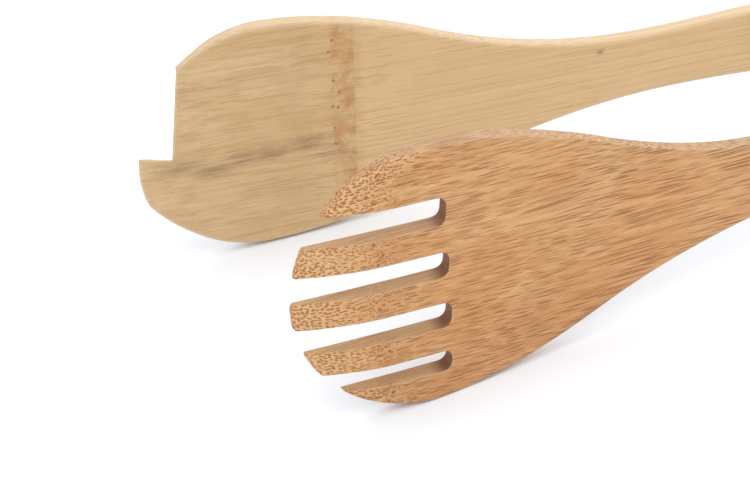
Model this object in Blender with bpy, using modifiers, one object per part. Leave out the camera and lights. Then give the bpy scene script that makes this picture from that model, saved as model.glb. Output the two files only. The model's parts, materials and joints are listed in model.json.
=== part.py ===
"""Spring loaded kitchen tongs: a bamboo fork arm and a bamboo spatula arm on a locking steel hinge.

Every piece is modelled in the hinge's own frame: the pin stands along Z at the origin, the heads are
towards -X and the hanging eye towards +X. The fork's side is -Y and the spatula's side is +Y. Each arm
and its fittings hang on an empty on the pin's axis, turned to the open position. The whole frame is then
leaned and moved so that the tongs lie on their lower edges on the floor at z = 0.
"""
import math

import bmesh
import bpy
from mathutils import Matrix, Vector

MM = 0.001

# The arms
REACH = 286.5 * MM            # from the pin's axis to the tip of a head
ARM_THICKNESS = 4.8 * MM
ARM_OFFSET = 7.0 * MM         # from the hinge's middle plane to an arm's inner face
ARM_END = 14.0 * MM           # from the pin's axis to the hinge end of an arm
OPEN_ANGLE = math.radians(9.74)       # each arm from the middle plane, at rest
BEND_START = 87.0 * MM        # from the pin's axis, where an arm starts to curve inwards
FORK_BEND = 19.7 * MM         # how far the curve brings the tip in
SPATULA_BEND = 4.7 * MM
NOSE_LENGTH = 32.0 * MM       # from the tip to the head's widest place
FORK_HALF_WIDTH = 31.0 * MM
SPATULA_HALF_WIDTH = 29.9 * MM
SHOULDER = (78.0 * MM, 20.7 * MM, -0.385)     # distance from the tip, half width, slope
NECK = (145.0 * MM, 8.55 * MM, 0.0)
HANDLE = (215.0 * MM, 10.8 * MM, 0.0)
TAPER_LENGTH = 22.0 * MM      # the head thins over this length, back from its front edge
TIP_THICKNESS = 1.1 * MM
LENGTH_CELLS = 56
WIDTH_CELLS = 20

# The fork's slots: height of the middle, width and distance of the round end from the tip
SLOTS = [
    (16.4 * MM, 6.6 * MM, 34.5 * MM),
    (3.4 * MM, 6.0 * MM, 35.2 * MM),
    (-9.2 * MM, 6.0 * MM, 35.8 * MM),
    (-20.9 * MM, 4.9 * MM, 35.8 * MM),
]
SLOT_SLOPE = math.radians(-2.2)       # the slots follow the grain and not quite the arm
SLOT_CORNER = 1.6 * MM
SLOT_UNDERCUT = 0.42          # the saw cut runs this much further per depth towards the inner face
SLOT_FACE = -1.6 * MM         # height of the outer face at the slots' ends, over the middle plane

# The spatula's nose has a small corner on its lower half: height, how far it stands out, span above
# and below
NOSE_CORNER = (-13.5 * MM, 2.4 * MM, 18.0 * MM, 10.0 * MM)

# The spatula's cut corner
NOTCH_CORNER = (7.66 * MM, -2.33 * MM)
NOTCH_UPRIGHT = math.radians(83.4)    # direction of its tall edge, up from the corner
NOTCH_FOOT = math.radians(168.8)      # direction of its low edge, towards the tip
NOTCH_LEAN = (0.30, -0.55)            # the cut shifts this much back and down per depth into the arm

# The hinge's sheet metal brackets
SHEET = 1.0 * MM
GAP = 0.3 * MM
BEND_RADIUS = 1.6 * MM
EAR_RADIUS = 7.5 * MM
BRACKET_FRONT = 50.0 * MM
BRACKET_BACK = 8.0 * MM
INNER_HALF_HEIGHT = 10.0 * MM         # outside of the spatula's bracket
EAR_WASHER = 0.5 * MM
OUTER_HALF_HEIGHT = INNER_HALF_HEIGHT + 2 * GAP + EAR_WASHER + SHEET
SPATULA_TANG = INNER_HALF_HEIGHT - SHEET - GAP
LUG_X = (-24.0 * MM, -22.0 * MM)
LUG_INNER = 2.6 * MM
LUG_BOTTOM = 5.6 * MM

# The pin and what turns on it
PIN_RADIUS = 2.0 * MM
PIN_HEAD_RADIUS = 4.2 * MM
PIN_HEAD = 1.4 * MM
WASHER = 0.6 * MM
WASHER_RADIUS = 5.0 * MM
SLEEVE_RADIUS = 4.5 * MM
NECK_RADIUS = 3.2 * MM
SHELF = 5.9 * MM              # height of the sleeve's shoulder
SLEEVE_HALF = INNER_HALF_HEIGHT - SHEET - GAP

# The torsion spring
WIRE_RADIUS = 0.75 * MM
LEG_LINE = ARM_OFFSET - GAP - WIRE_RADIUS
LEG_LENGTH = 38.0 * MM
SPRING_LOW = -5.6 * MM
SPRING_HIGH = 4.1 * MM
SPRING_TURNS = 5

# The lock's slider
SLIDER_SHEET = 1.5 * MM
SLIDER_BOTTOM = SHELF + GAP
SLIDER_TRAVEL = 7.0 * MM
SLIDER_HALF_WIDTH = 5.6 * MM
SLOT_HALF_WIDTH = NECK_RADIUS + GAP
STEM_HALF_WIDTH = 2.1 * MM
CLAW_INNER = 4.5 * MM
CLAW_OUTER = 5.7 * MM
CLAW_BAR = 2.5 * MM
CLAW_LENGTH = 2.6 * MM
CLAW_CLEARANCE = 0.6 * MM
CLAW_BACK = LUG_X[0] - CLAW_CLEARANCE - SLIDER_TRAVEL         # back edge of the claws' bar
EYE_X = 24.0 * MM
EYE_RADIUS = 9.0 * MM
EYE_HOLE = 5.5 * MM

# The rivets, along the arm's thickness
RIVET_X = (-24.5 * MM, -41.5 * MM)
RIVET_RADIUS = 1.5 * MM
RIVET_HEAD_RADIUS = 3.2 * MM
RIVET_HEAD = 1.3 * MM
RIVET_TAIL_RADIUS = 2.1 * MM
RIVET_TAIL = 0.7 * MM
BURR = 0.5 * MM
BURR_RADIUS = 2.9 * MM

PIN_PLAY = 0.2 * MM
CUT = 20.0 * MM               # reach of a cutter past what it cuts
ROUND_STEPS = 32
LIE_ANGLE = math.atan2(
    FORK_HALF_WIDTH - (OUTER_HALF_HEIGHT + 2 * GAP + WASHER + PIN_HEAD), REACH - NOSE_LENGTH
)

FORK = -1
SPATULA = 1


# Scene helpers

def clear_scene():
    for obj in list(bpy.data.objects):
        bpy.data.objects.remove(obj, do_unlink=True)


def new_collection(name):
    collection = bpy.data.collections.new(name)
    bpy.context.scene.collection.children.link(collection)
    return collection


def new_material(name, color, roughness, metallic=0.0):
    material = bpy.data.materials.new(name)
    material.use_nodes = True
    shader = material.node_tree.nodes["Principled BSDF"]
    shader.inputs["Base Color"].default_value = (*color, 1.0)
    shader.inputs["Roughness"].default_value = roughness
    shader.inputs["Metallic"].default_value = metallic
    return material


def new_empty(name, collection, parent=None, turn=0.0):
    empty = bpy.data.objects.new(name, None)
    empty.rotation_euler = (0.0, 0.0, turn)
    empty.parent = parent
    collection.objects.link(empty)
    return empty


def new_object(name, mesh, collection, material=None, parent=None):
    mesh.name = name
    obj = bpy.data.objects.new(name, mesh)
    obj.parent = parent
    collection.objects.link(obj)
    if material:
        mesh.materials.clear()
        mesh.materials.append(material)
    return obj


def smooth(obj, angle=35.0):
    obj.data.shade_smooth()
    obj.data.set_sharp_from_angle(angle=math.radians(angle))


def edit_mesh(mesh, change):
    """Run change(bm) on the mesh and make its faces point outwards."""
    bm = bmesh.new()
    bm.from_mesh(mesh)
    change(bm)
    bmesh.ops.recalc_face_normals(bm, faces=bm.faces)
    bm.to_mesh(mesh)
    bm.free()


def evaluated_mesh(obj):
    """The object's mesh with its modifiers, and without the object."""
    graph = bpy.context.evaluated_depsgraph_get()
    mesh = bpy.data.meshes.new_from_object(obj.evaluated_get(graph))
    bpy.data.objects.remove(obj, do_unlink=True)
    return mesh


def boolean(obj, other, operation):
    modifier = obj.modifiers.new(operation.lower(), "BOOLEAN")
    modifier.operation = operation
    modifier.object = other


def as_cutter(mesh, name, cutters, parent=None):
    obj = new_object(name, mesh, cutters, parent=parent)
    obj.hide_render = True
    obj.display_type = "WIRE"
    return obj


def prism(outlines, low, high):
    """A mesh of flat closed outlines in XY, solid from height low to height high; inner ones are holes."""
    curve = bpy.data.curves.new("outline", "CURVE")
    curve.dimensions = "2D"
    curve.fill_mode = "BOTH"
    curve.extrude = (high - low) / 2
    for outline in outlines:
        spline = curve.splines.new("POLY")
        spline.points.add(len(outline) - 1)
        for point, (x, y) in zip(spline.points, outline):
            point.co = (x, y, 0.0, 1.0)
        spline.use_cyclic_u = True
    obj = bpy.data.objects.new("outline", curve)
    bpy.context.scene.collection.objects.link(obj)
    mesh = evaluated_mesh(obj)
    bpy.data.curves.remove(curve)

    def finish(bm):
        bmesh.ops.remove_doubles(bm, verts=bm.verts, dist=0.00001)
        bmesh.ops.translate(bm, verts=bm.verts, vec=(0.0, 0.0, (low + high) / 2))

    edit_mesh(mesh, finish)
    return mesh


def turned(profile, steps=ROUND_STEPS):
    """A closed solid turned about Z from (radius, height) points that run down its outer side."""
    mesh = bpy.data.meshes.new("turned")
    bm = bmesh.new()
    corners = [bm.verts.new((radius, 0.0, height)) for radius, height in profile]
    closed = profile[0][0] > 0.0
    pairs = list(zip(corners, corners[1:]))
    if closed:
        pairs.append((corners[-1], corners[0]))
    for start, end in pairs:
        bm.edges.new((start, end))
    bm.to_mesh(mesh)
    bm.free()
    obj = bpy.data.objects.new("turned", mesh)
    bpy.context.scene.collection.objects.link(obj)
    screw = obj.modifiers.new("screw", "SCREW")
    screw.steps = steps
    screw.render_steps = steps
    screw.use_merge_vertices = True
    screw.merge_threshold = 0.00001
    solid = evaluated_mesh(obj)
    bpy.data.meshes.remove(mesh)
    edit_mesh(solid, lambda bm: bmesh.ops.remove_doubles(bm, verts=bm.verts, dist=0.00001))
    return solid


def box(low, high):
    """A box mesh between two corners."""
    mesh = bpy.data.meshes.new("box")
    bm = bmesh.new()
    bmesh.ops.create_cube(bm, size=1.0)
    low, high = Vector(low), Vector(high)
    bmesh.ops.scale(bm, verts=bm.verts, vec=high - low)
    bmesh.ops.translate(bm, verts=bm.verts, vec=(low + high) / 2)
    bm.to_mesh(mesh)
    bm.free()
    return mesh


def arc(x, y, radius, start, end, steps):
    """Points on an arc, with its angles in degrees."""
    angles = [math.radians(start + (end - start) * step / steps) for step in range(steps + 1)]
    return [(x + radius * math.cos(a), y + radius * math.sin(a)) for a in angles]


def mirrored(outline):
    """An open half outline on +Y closed by its mirror image on -Y."""
    return outline + [(x, -y) for x, y in reversed(outline)]


# The arms

def smooth_step(value, start, end):
    t = min(max((value - start) / (end - start), 0.0), 1.0)
    return t * t * (3 - 2 * t)


def hermite(value, start, end):
    """Half width between two (distance, half width, slope) places."""
    (x0, y0, m0), (x1, y1, m1) = start, end
    span = x1 - x0
    t = (value - x0) / span
    rise = (2 * t**3 - 3 * t**2 + 1) * y0 + (3 * t**2 - 2 * t**3) * y1
    return rise + span * ((t**3 - 2 * t**2 + t) * m0 + (t**3 - t**2) * m1)


def half_width(distance, side):
    """Half an arm's width at a distance from its tip; the nose counts as wide as its widest place."""
    widest = FORK_HALF_WIDTH if side == FORK else SPATULA_HALF_WIDTH
    places = [(NOSE_LENGTH, widest, 0.0), SHOULDER, NECK, HANDLE]
    for start, end in zip(places, places[1:]):
        if distance <= end[0]:
            return hermite(max(distance, start[0]), start, end)
    return HANDLE[1]


def sway(distance, side):
    """How far an arm's middle line strays from the straight, as cut bamboo does."""
    if side == FORK:
        rise = smooth_step(distance, 70 * MM, 130 * MM) * (1 - smooth_step(distance, 165 * MM, 235 * MM))
        return 0.2 * MM - 0.2 * MM * smooth_step(distance, 165 * MM, 235 * MM) - 1.6 * MM * rise
    rise = smooth_step(distance, 95 * MM, 185 * MM) * (1 - smooth_step(distance, 185 * MM, 236 * MM))
    return -0.5 * MM * (1 - smooth_step(distance, 60 * MM, 110 * MM)) + 3.0 * MM * rise


def inner_face(distance, side):
    """Height of an arm's inner face over the hinge's middle plane, and its slope towards the tip."""
    bend = FORK_BEND if side == FORK else SPATULA_BEND
    run = max(REACH - distance - BEND_START, 0.0) / (REACH - BEND_START)
    return ARM_OFFSET - bend * run**2, -2 * bend * run / (REACH - BEND_START)


def thinning(distance, height, side):
    """Share of the arm's thickness that is left near the front edge of its head."""
    widest = FORK_HALF_WIDTH if side == FORK else SPATULA_HALF_WIDTH
    ahead = (NOSE_LENGTH - distance) / NOSE_LENGTH
    radius = math.hypot(ahead, height / widest)
    if ahead <= 0.0:
        return 1.0
    facing = ahead / radius
    inside = (1.0 - radius) * NOSE_LENGTH
    run = min(max(1.0 - inside / (TAPER_LENGTH * facing), 0.0), 1.0)
    return 1.0 - (1.0 - TIP_THICKNESS / ARM_THICKNESS) * facing * run**2


def place_on_arm(distance, height, depth, side):
    """A point of an arm: distance from the tip, height across the arm, depth from its inner face."""
    rise, slope = inner_face(distance, side)
    depth = depth * thinning(distance, height, side)
    length = math.hypot(1.0, slope)
    x = distance - REACH + depth * slope / length
    y = rise + depth / length
    return Vector((x, side * y, height + sway(distance, side)))


def nose_front(across, side):
    """Distance of a head's front edge from its tip, for an angle across its width."""
    front = NOSE_LENGTH * (1 - math.cos(across))
    if side == SPATULA:
        height, stand_out, above, below = NOSE_CORNER
        away = SPATULA_HALF_WIDTH * math.sin(across) - height
        front -= stand_out * max(1 - abs(away) / (above if away > 0 else below), 0.0)
    return front


def arm_blank(side):
    """An arm as a sheet of cells from nose to hinge end, thickened outwards."""
    mesh = bpy.data.meshes.new("blank")
    bm = bmesh.new()
    bmesh.ops.create_grid(bm, x_segments=LENGTH_CELLS, y_segments=WIDTH_CELLS, size=1.0)
    sheet = list(bm.faces)
    top = bmesh.ops.extrude_face_region(bm, geom=sheet)
    outer = {v for v in top["geom"] if isinstance(v, bmesh.types.BMVert)}
    end = REACH - ARM_END
    for vert in bm.verts:
        along = (vert.co.x + 1) / 2
        across = vert.co.y * math.pi / 2
        line = end * along**1.25
        fade = max(1 - line / (2.2 * NOSE_LENGTH), 0.0)
        distance = line + fade * nose_front(across, side)
        height = half_width(distance, side) * math.sin(across)
        depth = ARM_THICKNESS if vert in outer else 0.0
        vert.co = place_on_arm(distance, height, depth, side)
    bmesh.ops.recalc_face_normals(bm, faces=bm.faces)
    bm.to_mesh(mesh)
    bm.free()
    return mesh


def slot_cutters(cutters, frame):
    """One long stadium for each slot between the fork's tines."""
    solids = []
    for number, (height, width, end) in enumerate(SLOTS, start=1):
        half = width / 2
        inner = half - SLOT_CORNER
        outline = [(-CUT, -half)]
        outline += arc(end - SLOT_CORNER, -inner, SLOT_CORNER, -90, 0, 5)
        outline += arc(end - SLOT_CORNER, inner, SLOT_CORNER, 0, 90, 5)
        outline += [(-CUT, half)]
        mesh = prism([outline], -CUT, CUT)
        lean = Matrix.Identity(4)
        lean[0][2] = -SLOT_UNDERCUT
        lean[0][3] = SLOT_UNDERCUT * SLOT_FACE
        mesh.transform(lean)
        turn = Matrix.Rotation(SLOT_SLOPE, 4, "Y").inverted()
        middle = NOSE_LENGTH / 2
        stand = Matrix.Rotation(math.radians(90), 4, "X")
        back = Matrix.Translation((-REACH + middle, 0.0, height))
        mesh.transform(back @ turn @ Matrix.Translation((-middle, 0.0, 0.0)) @ stand)
        solids.append(as_cutter(mesh, f"slot_{number}", cutters, frame))
    return solids


def notch_cutter(cutters, frame):
    """The missing corner of the spatula's head, cut so that its walls lean in under the inner face."""
    x, z = NOTCH_CORNER
    reach = 2 * SPATULA_HALF_WIDTH
    up = (x + reach * math.cos(NOTCH_UPRIGHT), z + reach * math.sin(NOTCH_UPRIGHT))
    front = (x + reach * math.cos(NOTCH_FOOT), z + reach * math.sin(NOTCH_FOOT))
    mesh = prism([[(x, z), up, (front[0], up[1]), front]], -CUT, CUT)
    face = inner_face(x, SPATULA)[0]
    lean = Matrix.Identity(4)
    for axis, slant in enumerate(NOTCH_LEAN):
        lean[axis][2] = -slant
        lean[axis][3] = -slant * face
    mesh.transform(lean)
    mesh.transform(Matrix.Translation((-REACH, 0.0, 0.0)) @ Matrix.Rotation(math.radians(90), 4, "X"))
    return as_cutter(mesh, "notch", cutters, frame)


def rivet_cutters(side, cutters, frame):
    """Clearance for the two rivets, through an arm and its bracket."""
    radius = RIVET_RADIUS + GAP
    solids = []
    for number, x in enumerate(RIVET_X, start=1):
        mesh = turned([(0.0, CUT), (radius, CUT), (radius, -CUT), (0.0, -CUT)])
        mesh.transform(Matrix.Translation((x, 0.0, 0.0)) @ outward(side))
        solids.append(as_cutter(mesh, f"rivet_hole_{side}_{number}", cutters, frame))
    return solids


def outward(side):
    """Turn +Z to point out of an arm's outer face."""
    return Matrix.Rotation(math.radians(-90 * side), 4, "X")


def tang_cutters(cutters, frame):
    """Two blocks that narrow the spatula's hinge end to fit its bracket."""
    front = -BRACKET_FRONT - GAP
    solids = []
    for sign in (-1, 1):
        edges = sorted((sign * SPATULA_TANG, sign * 2 * HANDLE[1]))
        mesh = box((front, -CUT, edges[0]), (0.0, CUT, edges[1]))
        solids.append(as_cutter(mesh, f"tang_{sign}", cutters, frame))
    return solids


def add_arm(name, side, collection, frame, material, cuts):
    arm = new_object(name, arm_blank(side), collection, material, frame)
    for cutter in cuts:
        boolean(arm, cutter, "DIFFERENCE")
    smooth(arm)
    return arm


# The brackets

def channel(side, half_height):
    """The bracket's bent sheet: a web along the arm's outer face and two flanges."""
    outer = ARM_OFFSET + ARM_THICKNESS + GAP + SHEET
    small = BEND_RADIUS - SHEET
    middle_y = outer - BEND_RADIUS
    middle_z = half_height - BEND_RADIUS
    half = [(-EAR_RADIUS - SHEET, half_height)]
    half += arc(middle_y, middle_z, BEND_RADIUS, 90, 0, 5)
    inside = [(-EAR_RADIUS - SHEET, half_height - SHEET)]
    inside += arc(middle_y, middle_z, small, 90, 0, 4)
    outline = half + [(y, -z) for y, z in reversed(half)]
    outline += [(y, -z) for y, z in inside] + list(reversed(inside))
    mesh = prism([[(side * y, z) for y, z in outline]], -BRACKET_FRONT, BRACKET_BACK)
    mesh.transform(Matrix(((0, 0, 1, 0), (1, 0, 0, 0), (0, 1, 0, 0), (0, 0, 0, 1))))
    return mesh


def side_profile(side):
    """The bracket seen along the pin: flange, ear round the pin, and web."""
    outer = ARM_OFFSET + ARM_THICKNESS + GAP + 2 * SHEET
    corner = 3.0 * MM
    outline = [(-BRACKET_FRONT, outer)]
    outline += arc(-BRACKET_FRONT + corner, ARM_OFFSET + corner, corner, 180, 270, 4)
    outline += [(-ARM_END, ARM_OFFSET)]
    outline += arc(0.0, 0.0, EAR_RADIUS, 200, 360, 20)
    outline += arc(BRACKET_BACK - corner, outer - corner, corner, 0, 45, 3)
    outline += [(BRACKET_BACK - 2 * corner, outer)]
    return prism([[(x, side * y) for x, y in outline]], -CUT, CUT)


def add_bracket(name, side, half_height, collection, cutters, frame, material, cuts):
    bracket = new_object(name, channel(side, half_height), collection, material, frame)
    profile = as_cutter(side_profile(side), f"{name}_profile", cutters, frame)
    boolean(bracket, profile, "INTERSECT")
    tongue_edges = sorted((side * LUG_INNER, side * (ARM_OFFSET + SHEET)))
    lug_edges = sorted((side * LUG_INNER, side * (LUG_INNER + SHEET)))
    tongue = box(
        (LUG_X[0], tongue_edges[0], half_height - SHEET), (LUG_X[1], tongue_edges[1], half_height)
    )
    lug = box((LUG_X[0], lug_edges[0], LUG_BOTTOM), (LUG_X[1], lug_edges[1], half_height))
    boolean(bracket, as_cutter(tongue, f"{name}_tongue", cutters, frame), "UNION")
    boolean(bracket, as_cutter(lug, f"{name}_lug", cutters, frame), "UNION")
    for cutter in cuts:
        boolean(bracket, cutter, "DIFFERENCE")
    smooth(bracket)
    return bracket


# The pin, what turns on it, and the rivets

def ring(inner, outer, low, high):
    return turned([(outer, high), (outer, low), (inner, low), (inner, high)])


def pin_mesh():
    top = OUTER_HALF_HEIGHT + GAP
    bottom = -(OUTER_HALF_HEIGHT + 2 * GAP + WASHER)
    dome = [
        (PIN_HEAD_RADIUS * math.sin(a), top + PIN_HEAD * (0.45 + 0.55 * math.cos(a)))
        for a in (0.0, 0.35, 0.75, 1.15, math.pi / 2)
    ]
    peen = 0.8 * PIN_HEAD_RADIUS
    profile = dome + [
        (PIN_HEAD_RADIUS, top),
        (PIN_RADIUS, top),
        (PIN_RADIUS, bottom),
        (peen, bottom),
        (peen, bottom - 0.5 * PIN_HEAD),
        (0.7 * peen, bottom - PIN_HEAD),
        (0.0, bottom - PIN_HEAD),
    ]
    return turned(profile)


def sleeve_mesh():
    inner = PIN_RADIUS + PIN_PLAY
    return turned([
        (NECK_RADIUS, SLEEVE_HALF),
        (NECK_RADIUS, SHELF),
        (SLEEVE_RADIUS, SHELF),
        (SLEEVE_RADIUS, -SLEEVE_HALF),
        (inner, -SLEEVE_HALF),
        (inner, SLEEVE_HALF),
    ])


def rivet_mesh():
    """A rivet along +Z: domed head outside the web, tail inside the arm's inner face."""
    head = ARM_OFFSET + ARM_THICKNESS + SHEET + 2 * GAP
    tail = ARM_OFFSET - 2 * GAP - BURR
    dome = [
        (RIVET_HEAD_RADIUS * math.sin(a), head + RIVET_HEAD * (0.3 + 0.7 * math.cos(a)))
        for a in (0.0, 0.35, 0.75, 1.15, math.pi / 2)
    ]
    profile = dome + [
        (RIVET_HEAD_RADIUS, head),
        (RIVET_RADIUS, head),
        (RIVET_RADIUS, tail),
        (RIVET_TAIL_RADIUS, tail),
        (RIVET_TAIL_RADIUS, tail - 0.5 * RIVET_TAIL),
        (0.6 * RIVET_TAIL_RADIUS, tail - RIVET_TAIL),
        (0.0, tail - RIVET_TAIL),
    ]
    return turned(profile, 24)


def add_rivets(prefix, side, collection, frame, material):
    rivet = rivet_mesh()
    burr_top = ARM_OFFSET - GAP
    burr = ring(RIVET_RADIUS + PIN_PLAY, BURR_RADIUS, burr_top - BURR, burr_top)
    for mesh in (rivet, burr):
        mesh.transform(outward(side))
    for place, x in zip(("rear", "front"), RIVET_X):
        for mesh, kind in ((rivet, "rivet"), (burr, "rivet_washer")):
            obj = new_object(f"{prefix}_{kind}_{place}", mesh, collection, material, frame)
            obj.location = (x, 0.0, 0.0)
            smooth(obj)


# The spring and the slider

def spring_mesh():
    """A coil round the sleeve, whose two straight legs lie along the arms' inner faces."""
    first = -math.pi / 2 + OPEN_ANGLE
    sweep = 2 * math.pi * SPRING_TURNS + math.pi - 2 * OPEN_ANGLE
    steps = SPRING_TURNS * 20 + 9
    points = []
    for step in range(steps + 1):
        angle = first + sweep * step / steps
        height = SPRING_LOW + (SPRING_HIGH - SPRING_LOW) * step / steps
        points.append(Vector((LEG_LINE * math.cos(angle), LEG_LINE * math.sin(angle), height)))
    fork_leg = points[0] + LEG_LENGTH * Vector((-math.cos(OPEN_ANGLE), -math.sin(OPEN_ANGLE), 0.0))
    spatula_leg = points[-1] + LEG_LENGTH * Vector((-math.cos(OPEN_ANGLE), math.sin(OPEN_ANGLE), 0.0))
    points = [fork_leg] + points + [spatula_leg]
    curve = bpy.data.curves.new("spring", "CURVE")
    curve.dimensions = "3D"
    curve.bevel_depth = WIRE_RADIUS
    curve.bevel_resolution = 2
    curve.use_fill_caps = True
    spline = curve.splines.new("POLY")
    spline.points.add(len(points) - 1)
    for point, place in zip(spline.points, points):
        point.co = (*place, 1.0)
    obj = bpy.data.objects.new("spring", curve)
    bpy.context.scene.collection.objects.link(obj)
    mesh = evaluated_mesh(obj)
    bpy.data.curves.remove(curve)
    edit_mesh(mesh, lambda bm: bmesh.ops.remove_doubles(bm, verts=bm.verts, dist=0.00001))
    return mesh


def slider_mesh():
    """The lock's stamped strip: claws in front, a slot round the sleeve, a hanging eye behind."""
    stadium = arc(0.0, 0.0, SLOT_HALF_WIDTH, -90, 90, 12)
    stadium += arc(-SLIDER_TRAVEL, 0.0, SLOT_HALF_WIDTH, 90, 270, 12)
    eye = arc(EYE_X, 0.0, EYE_HOLE, 0, 345, 23)
    corner = SLIDER_HALF_WIDTH - STEM_HALF_WIDTH
    front = -SLIDER_TRAVEL - SLOT_HALF_WIDTH - STEM_HALF_WIDTH
    meet = 180 - math.degrees(math.asin(SLIDER_HALF_WIDTH / EYE_RADIUS))
    half = [
        (CLAW_BACK - CLAW_BAR, CLAW_OUTER),
        (CLAW_BACK + CLAW_LENGTH, CLAW_OUTER),
        (CLAW_BACK + CLAW_LENGTH, CLAW_INNER),
        (CLAW_BACK, CLAW_INNER),
        (CLAW_BACK, STEM_HALF_WIDTH),
        (front, STEM_HALF_WIDTH),
    ]
    half += arc(front + corner, STEM_HALF_WIDTH, corner, 180, 90, 5)[1:]
    half += arc(EYE_X, 0.0, EYE_RADIUS, meet, 6, 14)
    return prism([mirrored(half), stadium, eye], SLIDER_BOTTOM, SLIDER_BOTTOM + SLIDER_SHEET)


def rest_on_floor(root, objects):
    """Move the hinge's frame so that the tongs' box stands on the middle of the floor."""
    bpy.context.view_layer.update()
    graph = bpy.context.evaluated_depsgraph_get()
    points = []
    for obj in objects:
        shape = obj.evaluated_get(graph)
        points += [shape.matrix_world @ vert.co for vert in shape.data.vertices]
    low = [min(point[i] for point in points) for i in range(3)]
    high = [max(point[i] for point in points) for i in range(3)]
    root.location = (-(low[0] + high[0]) / 2, -(low[1] + high[1]) / 2, -low[2])


def main():
    clear_scene()
    parts = new_collection("kitchen_tongs")
    cutters = new_collection("cutters")
    fork_bamboo = new_material("fork_bamboo", (0.56, 0.33, 0.16), 0.55)
    spatula_bamboo = new_material("spatula_bamboo", (0.66, 0.43, 0.22), 0.55)
    steel = new_material("brushed_steel", (0.60, 0.60, 0.61), 0.32, 1.0)
    bright_steel = new_material("bright_steel", (0.70, 0.70, 0.71), 0.18, 1.0)
    nylon = new_material("nylon", (0.75, 0.74, 0.70), 0.45)

    root = new_empty("hinge_axis", parts)
    root.rotation_euler = (0.0, LIE_ANGLE, 0.0)
    fork_frame = new_empty("fork_side", parts, root, OPEN_ANGLE)
    spatula_frame = new_empty("spatula_side", parts, root, -OPEN_ANGLE)
    slide_frame = new_empty("slide_axis", parts, root)

    pin_hole_mesh = turned(
        [(0.0, CUT), (PIN_RADIUS + PIN_PLAY, CUT), (PIN_RADIUS + PIN_PLAY, -CUT), (0.0, -CUT)]
    )
    pin_hole = as_cutter(pin_hole_mesh, "pin_hole", cutters, root)
    fork_holes = rivet_cutters(FORK, cutters, fork_frame)
    spatula_holes = rivet_cutters(SPATULA, cutters, spatula_frame)
    fork_cuts = slot_cutters(cutters, fork_frame) + fork_holes
    spatula_cuts = [notch_cutter(cutters, spatula_frame)] + tang_cutters(cutters, spatula_frame)

    add_arm("fork_arm", FORK, parts, fork_frame, fork_bamboo, fork_cuts)
    add_arm("spatula_arm", SPATULA, parts, spatula_frame, spatula_bamboo, spatula_cuts + spatula_holes)
    add_bracket(
        "fork_bracket", FORK, OUTER_HALF_HEIGHT, parts, cutters, fork_frame, steel, fork_holes + [pin_hole]
    )
    add_bracket(
        "spatula_bracket", SPATULA, INNER_HALF_HEIGHT, parts, cutters, spatula_frame, steel,
        spatula_holes + [pin_hole],
    )
    add_rivets("fork", FORK, parts, fork_frame, bright_steel)
    add_rivets("spatula", SPATULA, parts, spatula_frame, bright_steel)

    ear_gap = INNER_HALF_HEIGHT + GAP
    loose = PIN_RADIUS + PIN_PLAY
    slider_top = SLIDER_BOTTOM + SLIDER_SHEET
    foot = -(OUTER_HALF_HEIGHT + GAP)
    on_pin = {
        "hinge_pin": (pin_mesh(), bright_steel),
        "pin_washer": (ring(loose, WASHER_RADIUS, foot - WASHER, foot), steel),
        "upper_ear_washer": (ring(loose, WASHER_RADIUS, ear_gap, ear_gap + EAR_WASHER), nylon),
        "lower_ear_washer": (ring(loose, WASHER_RADIUS, -ear_gap - EAR_WASHER, -ear_gap), nylon),
        "spacer_sleeve": (sleeve_mesh(), nylon),
        "slider_washer": (ring(NECK_RADIUS + PIN_PLAY, WASHER_RADIUS, slider_top + GAP, SLEEVE_HALF), nylon),
    }
    for name, (mesh, material) in on_pin.items():
        smooth(new_object(name, mesh, parts, material, root))
    smooth(new_object("torsion_spring", spring_mesh(), parts, bright_steel, root))
    smooth(new_object("lock_slider", slider_mesh(), parts, steel, slide_frame))

    rest_on_floor(root, [obj for obj in parts.objects if obj.type == "MESH"])


main()
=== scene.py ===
import json
import math

import bpy
import numpy as np
from mathutils import Matrix, Quaternion, Vector, noise
from mathutils.geometry import delaunay_2d_cdt


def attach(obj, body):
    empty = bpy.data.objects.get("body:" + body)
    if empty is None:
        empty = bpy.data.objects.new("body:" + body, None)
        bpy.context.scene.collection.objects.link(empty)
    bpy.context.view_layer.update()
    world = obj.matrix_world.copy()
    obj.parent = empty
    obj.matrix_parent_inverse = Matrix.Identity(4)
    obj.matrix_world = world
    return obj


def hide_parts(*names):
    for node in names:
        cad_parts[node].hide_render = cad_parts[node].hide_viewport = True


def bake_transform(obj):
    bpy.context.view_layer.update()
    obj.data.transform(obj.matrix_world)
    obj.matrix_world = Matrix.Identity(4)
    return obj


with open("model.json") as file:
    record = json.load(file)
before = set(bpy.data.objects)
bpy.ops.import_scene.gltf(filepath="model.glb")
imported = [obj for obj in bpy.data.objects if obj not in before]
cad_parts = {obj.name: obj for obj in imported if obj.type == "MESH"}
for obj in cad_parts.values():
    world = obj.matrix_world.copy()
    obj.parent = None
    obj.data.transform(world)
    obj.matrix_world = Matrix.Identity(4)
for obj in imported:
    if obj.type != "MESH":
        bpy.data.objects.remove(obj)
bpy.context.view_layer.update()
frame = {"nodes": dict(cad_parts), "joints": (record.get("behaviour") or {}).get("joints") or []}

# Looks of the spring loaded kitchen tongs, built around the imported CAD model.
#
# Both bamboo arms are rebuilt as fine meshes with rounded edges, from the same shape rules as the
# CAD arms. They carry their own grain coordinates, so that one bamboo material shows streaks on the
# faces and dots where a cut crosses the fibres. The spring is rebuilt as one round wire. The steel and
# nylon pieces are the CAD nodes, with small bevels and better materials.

MM = 0.001

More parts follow.
